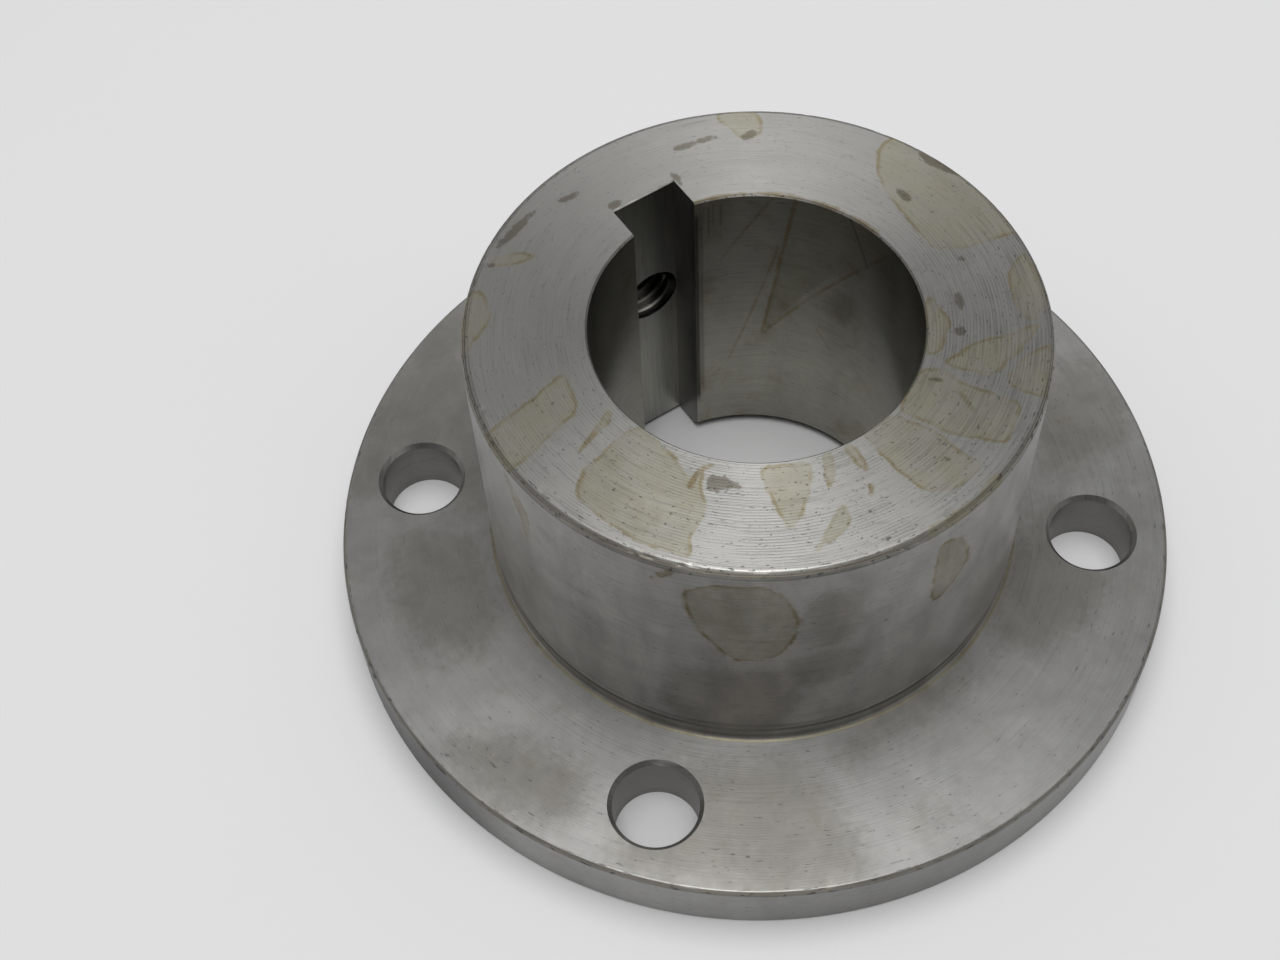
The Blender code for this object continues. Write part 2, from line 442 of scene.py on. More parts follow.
def nick_edges(obj):
    """Small dents knocked into the nose's rounded edge and the flange's rim, deepest at the front left."""
    for vert in obj.data.vertices:
        x, y, z = vert.co
        radius = math.hypot(x, y)
        for edge_radius, edge_height, reach, share in (
            (HUB_RADIUS, TOTAL_HEIGHT, NOSE_EDGE, 1.0),
            (FLANGE_RADIUS, FLANGE_TOP, RIM_EDGE, 0.45),
        ):
            across, down = edge_radius - radius, edge_height - z
            if across > reach + 0.3 or down > reach + 0.3 or across < -0.01 or down < -0.01:
                continue
            azimuth = math.degrees(math.atan2(y, x)) % 360
            worn = 0.35 + 0.65 * max(0.0, 1 - abs(azimuth - DENT_AZIMUTH) / DENT_SPREAD)
            hit = 0.7 * noise.noise(Vector((x * 0.5, y * 0.5, z * 0.6 + 11.0)))
            hit += 0.8 * noise.noise(Vector((x * 1.3, y * 1.3, z * 1.7 + 3.0)))
            dent = max(0.0, hit - DENT_THRESHOLD) * worn * share * DENT_SCALE
            inward = Vector((-x / radius, -y / radius, -1.0)).normalized()
            vert.co += inward * min(dent, DENT_LIMIT)


def make_hub():
    """The turned ring, with its edges knocked and its keyway and holes cut."""
    hub = turned("flanged_hub_turned", hub_outline(), SEGMENTS)
    nick_edges(hub)
    holes = [bolt_hole_tool(i + 1, centre) for i, centre in enumerate(BOLT_CENTRES)]
    combine(hub, [keyway_tool(), *holes], "DIFFERENCE")
    combine(hub, tapped_hole_tools(), "DIFFERENCE")
    return hub


# ------------ set screw


def make_screw():
    """Cup-point set screw with a hexagon socket, in its place in the hub."""
    tip, end = SCREW_TIP, SCREW_TIP + SCREW_LENGTH
    coat, crest = "black_oxide", SCREW_THREAD["crest"]
    body = Outline(0.0, end)
    body.line(crest - SCREW_END_CHAMFER, end, coat)
    blank = crest + BLANK_MARGIN
    body.line(blank, end - SCREW_END_CHAMFER - BLANK_MARGIN, coat)
    body.line(blank, tip + blank - SCREW_CUP_RADIUS, coat)
    body.line(SCREW_CUP_RADIUS, tip, coat)
    body.line(0.0, tip + SCREW_CUP_DEPTH, coat)
    screw = turned("set_screw_threaded", body, HOLE_SEGMENTS)
    thread = threaded_rod("thread_tool", SCREW_THREAD, tip - OVERRUN, end + OVERRUN, coat, coat)
    combine(screw, [thread], "INTERSECT")
    corner = SOCKET_FLATS / math.sqrt(3)
    floor = end - SOCKET_DEPTH
    socket = Outline(corner, end + OVERRUN)
    socket.line(corner, floor, coat)
    socket.line(0.0, floor - SOCKET_POINT, coat)
    brim = corner + SOCKET_MOUTH_MARGIN
    mouth = Outline(brim + OVERRUN, end + OVERRUN)
    mouth.line(brim - SOCKET_MOUTH_DEPTH, end - SOCKET_MOUTH_DEPTH, coat)
    tools = [turned("socket_tool", socket, 6), turned("socket_mouth_tool", mouth, 48)]
    combine(screw, tools, "DIFFERENCE")
    return lay_along_y(screw)


# ------------ stains
# Dried oil has left beige films on the steel, with a darker line round each. Outlines are in millimetres:
# (x, y) on flat faces, and (azimuth in degrees, height) on round ones.

NOSE_FILMS = [
    [(-38, 4.6), (-30, 5.9), (-24, 7.3), (-25, 3), (-25.8, 1), (-31, -0.4), (-38, -2.2)],
    [(-30, -4.7), (-22.3, -0.4), (-22.8, -2.5), (-25.5, -3.1)],
    [(-33, -9.5), (-30.5, -6.8), (-25, -5.2), (-21, -4.6), (-20.2, -9), (-19.7, -12), (-20.6, -15),
     (-18.8, -14.4), (-18.2, -15.2), (-20, -17), (-20.5, -20), (-25, -22), (-26, -24.5), (-29.5, -20.5),
     (-31.8, -15)],
    [(-12.6, -18.4), (-6.6, -21.2), (-10.5, -25.8), (-15, -28.2), (-14, -23)],
    [(-5.6, -21.4), (-3.8, -21.2), (-6, -25), (-7.8, -26)],
    [(-2.8, -21.6), (-1.1, -21.4), (-1.4, -25), (-2.5, -26.4), (-2.6, -24)],
    [(-3, -27.1), (-2.6, -28.4), (-4.6, -30)],
    [(-7, -27.8), (-11.8, -30.2), (-15.8, -32.6), (-12, -31.6), (-8.6, -31.6), (-7.2, -29.4)],
    [(0.5, -21), (5.6, -21), (8, -26), (9.8, -33.6), (5, -34.2), (1.4, -32), (0.6, -27)],
    [(6, -21), (12.2, -17.6), (14.6, -19), (15.6, -22.8), (19.6, -29), (13.8, -32.6), (9.6, -28)],
    [(15, -18.2), (21, -18.4), (29.6, -20.6), (24, -22.6), (18.6, -23.8)],
    [(19.4, -25), (24, -23.4), (28.4, -23.6), (22, -30.4)],
    [(20.6, -8.4), (20.4, -14), (15.4, -17.6), (14, -16), (17.8, -12)],
    [(35.4, -9.6), (30.6, -12), (28.2, -16.6), (28, -20.2), (33, -18)],
    [(34.4, 16), (30, 14.6), (27.8, 12), (26.7, 8), (26.2, 3), (25.5, -1), (26, -4), (29, -5.6), (38, -7.4),
     (39, 6)],
    [(15.8, 32.6), (19.6, 32.4), (21.4, 29), (19.4, 26), (16.6, 26.2), (16.4, 29)],
    [(-23.4, 27.6), (-21, 28.2), (-19, 27.4), (-16.6, 24.8), (-18.4, 25), (-21.6, 26)],
    [(-30.6, 25.6), (-26, 24.6), (-26.2, 22), (-27.6, 19.2), (-32.6, 16.6), (-36, 18)],
    [(-1.8, -36.6), (5.4, -36.4), (10.4, -34.8), (11, -36), (4, -39), (-2, -39)],
]
NOSE_GRIME = [
    [(-19.6, -18.2), (-18.4, -15.8), (-17.2, -16.4), (-15.4, -20.2), (-17, -18.6)],
    [(7.4, 30.4), (8.8, 31.1), (11, 30.2), (14, 29.8), (14.6, 28), (13.4, 29.3), (10, 29.7)],
    [(-21.4, 29), (-18.4, 30.8), (-12, 32.6), (-14.6, 31), (-17.2, 29.8)],
    [(-10.4, 32), (-6.2, 31.6), (-8.8, 30.6)],
    [(22, -13.4), (23.2, -10.6), (24.2, -10.8), (23, -13)],
    [(19.2, -15.8), (20.2, -15), (21, -15.8), (20, -16.8)],
    [(27.6, 6.4), (28.4, 8), (29, 5), (28, 5)],
    [(27, -6.8), (27.8, -6), (28.2, -7.4)],
    [(12, -19.2), (13.8, -20.4), (13.2, -20.8)],
    [(6.4, -29.6), (7.2, -29.8), (7, -30.5), (6.3, -30.3)],
    [(16, 26.8), (17.4, 27.6), (19.6, 27.2), (18, 26)],
    [(-4.9, 26.1), (-4.9, 27.4), (-2.8, 27.2), (-3, 26.4)],
    [(5, 26), (5, 27.4), (6, 27), (5.6, 24.6), (5, 24.4)],
    [(-23.6, 27.8), (-22.8, 26.4), (-22, 27.4)],
    [(34.6, 12), (36.6, 6), (36.2, 4.6), (34.2, 9)],
]
WALL_FILMS = [
    [(-137.5, 48.5), (-138.8, 44.5), (-136.5, 39), (-132.5, 34.6), (-130, 32), (-126.5, 30.8), (-120, 32.4),
     (-118.2, 35), (-116.3, 40), (-118.6, 45), (-122, 50)],
    [(-90, 49), (-83, 46), (-79.5, 38.5), (-84, 35), (-89.5, 33)],
    [(-181, 51), (-174, 47), (-172.6, 43), (-174.8, 37), (-175.6, 42), (-179, 47)],
    [(-141, 51), (-144, 49), (-146, 46.5), (-143.4, 48), (-139, 50.6)],
]
WALL_GRIME = [
    [(-140, 27), (-119, 28), (-117, 20), (-121, 11), (-136, 10), (-142, 18)],
    [(-118, 30), (-112, 32), (-105, 31), (-105, 26), (-110, 23.5), (-118, 25)],
    [(-114, 46), (-106, 45), (-105, 37), (-110, 33), (-114, 36)],
]
BORE_FILMS = [[(-8, 54), (8, 45.5), (28, 37), (40, 29.4), (53, 20), (50, 27), (46, 37), (42, 54)]]


def round_line(radius, start_deg, end_deg, steps):
    """Points along an arc about the axis."""
    angles = [math.radians(start_deg + (end_deg - start_deg) * i / steps) for i in range(steps + 1)]
    return [(radius * math.cos(angle), radius * math.sin(angle)) for angle in angles]


# Lines of dried oil and scratches: (width in millimetres, points along the line)
NOSE_STREAKS = [
    (0.3, round_line(BORE_RADIUS + 0.35, 8, 80, 12)),
    (0.35, [(-21, -16), (-18.6, -14.6), (-17, -14.9)]),
    (0.3, [(13.6, -27.4), (14, -25), (14.1, -23.4)]),
]
WALL_STREAKS = [
    (0.5, [(-137.4, 48), (-138.4, 44.5), (-136.4, 39), (-132.4, 34.6), (-130, 32), (-126.5, 30.9),
           (-120, 32.4)]),
    (0.4, [(-118.2, 35), (-116.4, 40), (-118.8, 45)]),
    (0.35, [(-84, 45.6), (-79.8, 38.5), (-84, 35), (-89.5, 33.4)]),
]
FLANGE_STREAKS = [(0.25, [(-46.4, -19), (-52.4, -13), (-57, -4)])]

# Straight and bowed lines on the bore's wall: (azimuth at the low end, degrees per millimetre of height, the
# same per square millimetre, low end, high end, width, strength)
BORE_LINES = [
    (51.3, -0.366, 0.0, 22.0, 51.6, 0.48, 0.8),
    (51.3, -1.825, 0.0, 22.0, 51.6, 0.42, 0.85),
    (64.4, -0.870, 0.0061, 16.0, 42.0, 0.34, 0.65),
    (67.6, -1.550, 0.0, 38.9, 51.6, 0.45, 0.6),
    (24.0, 1.875, 0.0, 22.6, 25.8, 0.34, 0.5),
]

# Black dirt in the same terms: along the keyway's edge, and in the chatter marks near it under the nose face
BORE_SOOT = [
    (76.8, 0.0, 0.0, 8.0, 49.4, 0.8, 0.9),
    (76.1, 0.0, 0.0, 10.0, 49.8, 1.5, 0.4),
    (10.0, 1.280, 0.0, 44.0, 51.6, 0.20, 0.6),
    (74.9, 0.0, 0.0, 45.6, 50.4, 0.12, 0.5),
    (73.6, 0.0, 0.0, 47.0, 50.6, 0.10, 0.4),
    (71.8, 0.0, 0.0, 44.8, 50.2, 0.14, 0.5),
    (70.2, 0.0, 0.0, 46.6, 50.7, 0.10, 0.35),
    (67.4, 0.0, 0.0, 45.9, 50.3, 0.12, 0.4),
]

# Darker smears, soft at their edges
BORE_GRIME = [
    [(62, 54), (76, 54), (74, 42), (69, 44)],
    [(14, 36), (22, 35), (27, 31), (20, 29.6), (15, 31.6)],
    [(71.5, 36), (74, 36), (75, 31), (73, 31)],
    [(73.5, 14), (76, 14), (76, 9.6), (74, 9.6)],
]
FLANGE_GRIME = [
    [(-56, -8), (-50, -12), (-43, -21), (-47, -27), (-55, -19)],
    [(-24, 58), (-16, 56), (-15, 49), (-27, 48)],
    [(-30, 50), (-20, 46), (-20, 38), (-27, 33), (-36, 35), (-41, 44)],
    [(-38, 39), (-44, 33), (-48, 35), (-42, 42)],
    [(-25, 29), (-33, 22), (-36, 26), (-31, 34), (-25, 36)],
    [(-44, 24), (-37, 18), (-41, 3), (-48, 3), (-51, 14)],
    [(-12, -38.4), (0, -39), (8, -38.4), (8, -39.6), (0, -40.2), (-12, -39.8)],
    [(-18, -37), (-36, -27), (-47, -35), (-33, -50), (-20, -55)],
    [(40, -21), (54, -20), (57, -8), (43, -6)],
    [(22, -31), (34, -24), (39, -30), (33, -38), (25, -42), (15, -38.5)],
]

# Distance stored where a zone's marks don't reach
FAR_AWAY = 60.0


def eased(outline, reach):
    """The outline with its corners cut back twice, by no more than reach along each side."""
    corners = np.array(outline, float)
    for share in (1.0, 0.4):
        ahead = np.roll(corners, -1, axis=0) - corners
        length = np.linalg.norm(ahead, axis=1, keepdims=True)
        cut = np.minimum(0.3, share * reach / length) * ahead
        starts, ends = corners + cut, np.roll(corners, -1, axis=0) - cut
        corners = np.stack([starts, ends], axis=1).reshape(-1, 2)
    return corners


def distance_to_line(points, line, closed=False):
    """Distance of each point to an open line, or to a closed one, where it is negative inside."""
    corners = np.array(line, float)
    ends = np.roll(corners, -1, axis=0)
    if not closed:
        corners, ends = corners[:-1], ends[:-1]
    nearest = np.full(len(points), np.inf)
    inside = np.zeros(len(points), bool)
    for a, b in zip(corners, ends):
        along = b - a
        offset = points - a
        share = np.clip(offset @ along / (along @ along), 0, 1)
        nearest = np.minimum(nearest, np.linalg.norm(offset - share[:, None] * along, axis=1))
        if closed and a[1] != b[1]:
            crosses = (a[1] > points[:, 1]) != (b[1] > points[:, 1])
            inside ^= crosses & (points[:, 0] < a[0] + (points[:, 1] - a[1]) * along[0] / along[1])
    return np.where(inside, -nearest, nearest)


def write_field(mesh, name, chosen, places, outlines=(), streaks=()):
    """Stores on each chosen vertex the distance to the nearest mark, in millimetres, negative inside."""
    values = np.full(len(mesh.vertices), FAR_AWAY)
    field = np.full(len(places), FAR_AWAY)
    for outline in outlines:
        field = np.minimum(field, distance_to_line(places, outline, closed=True))
    for width, line in streaks:
        field = np.minimum(field, distance_to_line(places, line) - width / 2)
    values[chosen] = field
    mesh.attributes.new(name, "FLOAT", "POINT").data.foreach_set("value", values.astype(np.float32))


def unrolled(points, radius, cut_deg):
    """Places on a round wall as (distance round it, height). Azimuths run up to cut_deg."""
    azimuth = np.degrees(np.arctan2(points[:, 1], points[:, 0]))
    azimuth = np.where(azimuth > cut_deg, azimuth - 360, azimuth)
    return np.stack([azimuth * math.radians(radius), points[:, 2]], axis=1)


def write_stains(obj):
    """Writes the film, grime and streak fields of each zone of the hub."""
    mesh = obj.data
    points = np.array([v.co for v in mesh.vertices], float)
    radius = np.hypot(points[:, 0], points[:, 1])
    height = points[:, 2]
    nose = (height > TOTAL_HEIGHT - NOSE_EDGE - 0.1) & (radius > BORE_RADIUS - 0.1)
    wall = (radius > HUB_RADIUS - 1.5) & (radius < HUB_RADIUS + 0.5) & (height > FLANGE_TOP + 0.1)
    bore = radius < BORE_RADIUS + 1.0
    flange = (radius > HUB_RADIUS - 0.5) & (height < FLANGE_TOP + 1)
    # zone, its vertices, a round wall's radius and highest azimuth, how far corners are eased, and its marks
    for zone, chosen, wall_radius, cut_deg, reach, films, grime, streaks in (
        ("nose", nose, None, 0, 0.8, NOSE_FILMS, NOSE_GRIME, NOSE_STREAKS),
        ("flange", flange, None, 0, 2.0, (), FLANGE_GRIME, FLANGE_STREAKS),
        ("wall", wall, HUB_RADIUS, 90, 2.0, WALL_FILMS, WALL_GRIME, WALL_STREAKS),
        ("bore", bore, BORE_RADIUS, 180, 2.0, BORE_FILMS, BORE_GRIME, ()),
    ):
        if wall_radius is None:
            places, scale = points[chosen][:, :2], np.array((1.0, 1.0))
        else:
            places = unrolled(points[chosen], wall_radius, cut_deg)
            scale = np.array((math.radians(wall_radius), 1.0))
        for kind, outlines in (("film", films), ("grime", grime)):
            eased_outlines = [eased(np.array(outline) * scale, reach) for outline in outlines]
            write_field(mesh, f"{zone}_{kind}", chosen, places, eased_outlines)
        lines = [(width, np.array(line) * scale) for width, line in streaks]
        write_field(mesh, f"{zone}_streak", chosen, places, streaks=lines)


# ------------ materials


class Tree:
    """Short calls for building the nodes of a material or a world."""

    def __init__(self, owner):
        self.owner = owner
        owner.use_nodes = True
        self.nodes = owner.node_tree.nodes
        self.links = owner.node_tree.links

    def add(self, kind, inputs=(), **settings):
        """A new node. inputs maps each input's name or number to a value or to another node's output."""
        node = self.nodes.new(kind)
        for key, value in settings.items():
            setattr(node, key, value)
        for key, value in dict(inputs).items():
            self.feed(node.inputs[key], value)
        return node

    def feed(self, socket, value):
        if isinstance(value, bpy.types.NodeSocket):
            self.links.new(value, socket)
        else:
            socket.default_value = value

    def feed_shader(self, name, inputs):
        """Feeds inputs of a node that the material or world came with."""
        for key, value in inputs.items():
            self.feed(self.nodes[name].inputs[key], value)

    def math(self, operation, a, b=0.0):
        return self.add("ShaderNodeMath", {0: a, 1: b}, operation=operation).outputs[0]

    def times(self, a, b):
        return self.math("MULTIPLY", a, b)

    def plus(self, a, b):
        return self.math("ADD", a, b)

    def scale_add(self, value, factor, offset):
        """value * factor + offset"""
        node = self.add("ShaderNodeMath", {0: value, 1: factor, 2: offset}, operation="MULTIPLY_ADD")
        return node.outputs[0]

    def smooth(self, value, low, high, to_low=0.0, to_high=1.0):
        """Eases from to_low to to_high as value goes from low to high."""
        inputs = {"Value": value, "From Min": low, "From Max": high, "To Min": to_low, "To Max": to_high}
        return self.add("ShaderNodeMapRange", inputs, interpolation_type="SMOOTHSTEP").outputs[0]

    def noise(self, vector, scale, detail=2.0, roughness=0.5, distortion=0.0):
        inputs = dict(Vector=vector, Scale=scale, Detail=detail, Roughness=roughness, Distortion=distortion)
        return self.add("ShaderNodeTexNoise", inputs).outputs[0]

    def combine(self, x, y, z):
        return self.add("ShaderNodeCombineXYZ", {0: x, 1: y, 2: z}).outputs[0]

    def split(self, vector):
        return tuple(self.add("ShaderNodeSeparateXYZ", {0: vector}).outputs)

    def along(self, vector, direction):
        """How far the vector reaches in a direction."""
        node = self.add("ShaderNodeVectorMath", {0: vector, 1: direction}, operation="DOT_PRODUCT")
        return node.outputs["Value"]

    def blend(self, share, under, over, mode="MIX"):
        node = self.add("ShaderNodeMix", data_type="RGBA", blend_type=mode)
        self.feed(node.inputs[0], share)
        self.feed(node.inputs[6], under)
        self.feed(node.inputs[7], over)
        return node.outputs[2]

    def attribute(self, name):
        return self.add("ShaderNodeAttribute", attribute_name=name).outputs["Fac"]

    def place(self):
        """The place on the object, in millimetres."""
        metres = self.add("ShaderNodeTexCoord").outputs["Object"]
        return self.add("ShaderNodeVectorMath", {0: metres, 3: 1 / MM}, operation="SCALE").outputs[0]


def rgb(r, g, b):
    return (r, g, b, 1.0)


# Directions for fades, as unit vectors in the part's frame
UPWARDS = (0.0, 0.0, 1.0)
KEYWARDS = (0.0, 1.0, 0.0)
SIDEWAYS = (1.0, 0.0, 0.0)
FRONT = (-0.593, -0.805, 0.0)
BACK_LEFT = (-0.707, 0.707, 0.0)

FILM_TINT = rgb(0.975, 0.925, 0.73)
TIDE_TINT = rgb(0.70, 0.59, 0.37)
GRIME_TINT = rgb(0.46, 0.42, 0.35)
RUST_TINT = rgb(0.62, 0.51, 0.31)
OIL_TINT = rgb(0.70, 0.57, 0.34)
SOOT_TINT = rgb(0.14, 0.13, 0.12)


def grain_vector(tree, place, across, spin, spacing):
    """Stretched coordinates for marks that run round the axis: fine across them and long along them."""
    direction = tree.add("ShaderNodeVectorMath", {0: place}, operation="NORMALIZE").outputs[0]
    x, y, _ = tree.split(direction)
    return tree.combine(tree.times(x, spin), tree.times(y, spin), tree.times(across, 1.0 / spacing))


def bore_lines(tree, place, table):
    """How much of each place on the bore's wall the thin lines in the table cover."""
    x, y, height = tree.split(place)
    azimuth = tree.times(tree.math("ARCTAN2", y, x), math.degrees(1))
    cover = None
    for low_azimuth, slope, bow, low, high, width, strength in table:
        above = tree.math("SUBTRACT", height, low)
        lean = tree.times(above, tree.scale_add(above, bow, slope))
        away = tree.math("ABSOLUTE", tree.math("SUBTRACT", azimuth, tree.plus(lean, low_azimuth)))
        per_degree = math.radians(BORE_RADIUS) / math.hypot(1, math.radians(slope) * BORE_RADIUS)
        across = tree.times(away, per_degree)
        line = tree.smooth(across, 0.5 * width + 0.22, 0.5 * width - 0.16, 0.0, strength)
        taper = 0.2 + 1.5 * width
        line = tree.times(line, tree.smooth(height, low - taper, low + taper))
        line = tree.times(line, tree.smooth(height, high + taper, high - taper))
        cover = line if cover is None else tree.math("MAXIMUM", cover, line)
    return cover


def grain_noises(tree, look, place, across):
    """Fine, broad and dashed noise, all drawn out along the direction of cutting."""
    x, y, z = tree.split(place)
    if look["grain"] == "strokes":
        drawn = tree.combine(tree.times(x, 5.0), tree.times(y, 5.0), tree.times(z, 0.12))
        return tree.noise(drawn, 1.0, 2.0, 0.6), tree.noise(drawn, 0.3), tree.noise(drawn, 1.7, 1.0)
    flat = tree.combine(x, y, 0.0)
    return (
        tree.noise(grain_vector(tree, flat, across, 4.0, 0.28), 1.0, 2.0, 0.65),
        tree.noise(grain_vector(tree, flat, across, 2.0, 2.2), 1.0, 3.0, 0.6),
        tree.noise(grain_vector(tree, flat, across, 40.0, 0.26), 1.0, 1.0),
    )


def feed_ridges(tree, look, place, across, front_visibility):
    """Ridges left by the tool's feed, one for each turn, worn away in patches."""
    drift = tree.scale_add(tree.noise(place, 0.12, 2.0, 0.5), 9.0, 0.0)
    turns = tree.math("SINE", tree.scale_add(across, math.tau / look["feed"], drift))
    shown = tree.smooth(tree.noise(place, 0.14, 3.0, 0.6), 0.42, 0.62, 0.12, 1.0)
    # Painted light: the ridges are drawn fainter towards the back, where the highlight that shows them is
    # missing
    shown = tree.times(shown, front_visibility)
    return tree.times(tree.smooth(turns, -0.2, -0.9), shown)


def stained(tree, look, place, colour, rough):
    """Lays the zone's films, lines and smears over the steel, and returns its colour, roughness and metal."""

    def tint(share, strength, over):
        return tree.blend(tree.times(share, strength), colour, over, "MULTIPLY")

    zone = look["zone"]
    wander = tree.scale_add(tree.noise(place, 0.35, 2.0, 0.5), 1.2, -0.6)
    fringe = tree.scale_add(tree.noise(place, 2.2, 2.0, 0.6), 0.5, -0.25)
    wobble = tree.plus(wander, fringe)

    # Films, each with a tide line just inside its edge
    edge = tree.plus(tree.attribute(zone + "_film"), wobble)
    inside = tree.smooth(edge, 0.22, -0.22)
    patchy = tree.smooth(tree.noise(place, 0.3, 4.0, 0.65), 0.3, 0.7, 0.5, 1.0)
    film = tree.times(inside, patchy)
    tide = tree.smooth(tree.math("ABSOLUTE", tree.plus(edge, 0.2)), 0.40, 0.05)
    broken = tree.smooth(tree.noise(place, 0.3, 2.0, 0.5), 0.38, 0.62, 0.1, 1.0)
    tide = tree.times(tide, broken)
    colour = tint(film, look["film_share"], look["film_tint"])
    colour = tint(tide, look["tide_share"], TIDE_TINT)
    cover = tree.math("MAXIMUM", film, tide)
    rough = tree.plus(rough, tree.times(cover, 0.10))
    metal = tree.scale_add(cover, -look["film_dull"], 1.0)

    # Lines
    if zone == "bore":
        streak, streak_tint = bore_lines(tree, place, BORE_LINES), OIL_TINT
        colour = tree.blend(bore_lines(tree, place, BORE_SOOT), colour, SOOT_TINT, "MULTIPLY")
    else:
        streaky = tree.plus(tree.attribute(zone + "_streak"), tree.times(wobble, 0.6))
        streak, streak_tint = tree.smooth(streaky, 0.30, -0.10), RUST_TINT
    streak = tree.times(streak, tree.smooth(patchy, 0.5, 0.9, 0.35, 1.0))
    colour = tint(streak, look["streak_share"], streak_tint)

    # Smears with torn, soft edges, a little darker along them
    soft = look["grime_soft"]
    torn = tree.scale_add(tree.noise(place, 0.9, 3.0, 0.6), look["grime_torn"], -0.5 * look["grime_torn"])
    edge = tree.plus(tree.attribute(zone + "_grime"), torn)
    soil = tree.smooth(edge, soft, -soft)
    colour = tint(soil, look["grime_share"], look["grime_tint"])
    brim = tree.smooth(tree.math("ABSOLUTE", edge), soft, 0.0, 0.0, 0.35)
    colour = tint(brim, look["grime_share"], look["grime_tint"])
    rough = tree.plus(rough, tree.times(soil, 0.08))
    return colour, rough, metal


def turned_steel(name, look):
    """Machined steel. look has its grain, colour and strengths, and the zone whose stains lie on it."""
    tree = Tree(bpy.data.materials.new(name))
    place = tree.place()
    x, y, z = tree.split(place)
    across = z
    if look["grain"] == "rings":
        flat = tree.combine(x, y, 0.0)
        across = tree.add("ShaderNodeVectorMath", {0: flat}, operation="LENGTH").outputs["Value"]
    fine, broad, dash = grain_noises(tree, look, place, across)
    cloud = tree.noise(place, 0.07, 4.0, 0.6, 0.4)
    speck = tree.noise(place, 1.5, 2.0, 0.6)

    # Painted light: the cut's marks are drawn fainter towards the back (+Y), where the highlight that shows
    # them at the front is missing; the cut itself is the same all round
    if look["feed"]:
        front_visibility = tree.smooth(y, 18.0, -18.0, 0.2, 1.0)
        front_visibility_eased = tree.scale_add(front_visibility, 0.6, 0.4)
        fine = tree.plus(tree.times(tree.math("SUBTRACT", fine, 0.5), front_visibility_eased), 0.5)
    grooves = tree.smooth(fine, 0.46, 0.34)
    if look["feed"]:
        ridges = feed_ridges(tree, look, place, across, front_visibility)
        grooves = tree.math("MAXIMUM", tree.times(grooves, 0.7), ridges)
    dashes = tree.smooth(dash, look["dash_from"], look["dash_from"] + 0.06)
    specks = tree.smooth(speck, look["speck_from"], look["speck_from"] + 0.05)
    marks = tree.math("MAXIMUM", tree.times(dashes, 0.75), tree.times(specks, 0.6))
    if look["feed"]:
        marks = tree.times(marks, front_visibility_eased)
    mottle = tree.noise(tree.combine(x, y, tree.times(z, 0.45)), 0.19, 4.0, 0.62, 0.4)

    tone = tree.scale_add(fine, look["fine"], 1.0 - 0.5 * look["fine"])
    tone = tree.times(tone, tree.scale_add(grooves, -look["grooves"], 1.0))
    for value, strength in ((mottle, look["mottle"]), (broad, look["broad"]), (cloud, look["cloud"])):
        tone = tree.times(tone, tree.scale_add(value, strength, 1.0 - 0.5 * strength))
    tone = tree.times(tone, tree.scale_add(marks, -look["marks"], 1.0))
    # Tone ramps along a direction; on most finishes these are painted light and shade
    for direction, start, end, from_share, to_share in look["fades"]:
        tone = tree.times(tone, tree.smooth(tree.along(place, direction), start, end, from_share, to_share))
    colour = tree.blend(1.0, look["colour"], tree.combine(tone, tone, tone), "MULTIPLY")
    rough = tree.scale_add(fine, look["rough_fine"], look["rough"] - 0.5 * look["rough_fine"])
    rough = tree.plus(rough, tree.scale_add(cloud, look["rough_cloud"], -0.5 * look["rough_cloud"]))
    rough = tree.plus(rough, tree.times(marks, 0.12))
    metal = look["metal"]

    if look["foxing"]:
        fox = tree.smooth(tree.noise(place, 0.16, 5.0, 0.65, 0.6), 0.52, 0.76)
        colour = tree.blend(tree.times(fox, look["foxing"]), colour, RUST_TINT, "MULTIPLY")
    if look["zone"]:
        colour, rough, metal = stained(tree, look, place, colour, rough)

    height = tree.times(fine, look["bump_fine"])
    for value, key, sign in ((grooves, "grooves", -1), (broad, "broad", 1), (marks, "marks", -1)):
        height = tree.plus(height, tree.times(value, sign * look["bump_" + key]))
    bump = tree.add("ShaderNodeBump", {"Height": height, "Distance": MM, "Strength": 1.0})
    inputs = {"Base Color": colour, "Roughness": rough, "Metallic": metal, "Normal": bump.outputs[0]}
    inputs["Specular Tint"] = look["grazing_tint"]
    if look["grain"] != "strokes":
        tangent = tree.add("ShaderNodeTangent", direction_type="RADIAL", axis="Z").outputs[0]
        inputs.update({"Anisotropic": look["stretch"], "Anisotropic Rotation": 0.25, "Tangent": tangent})
    tree.feed_shader("Principled BSDF", inputs)
    return tree.owner


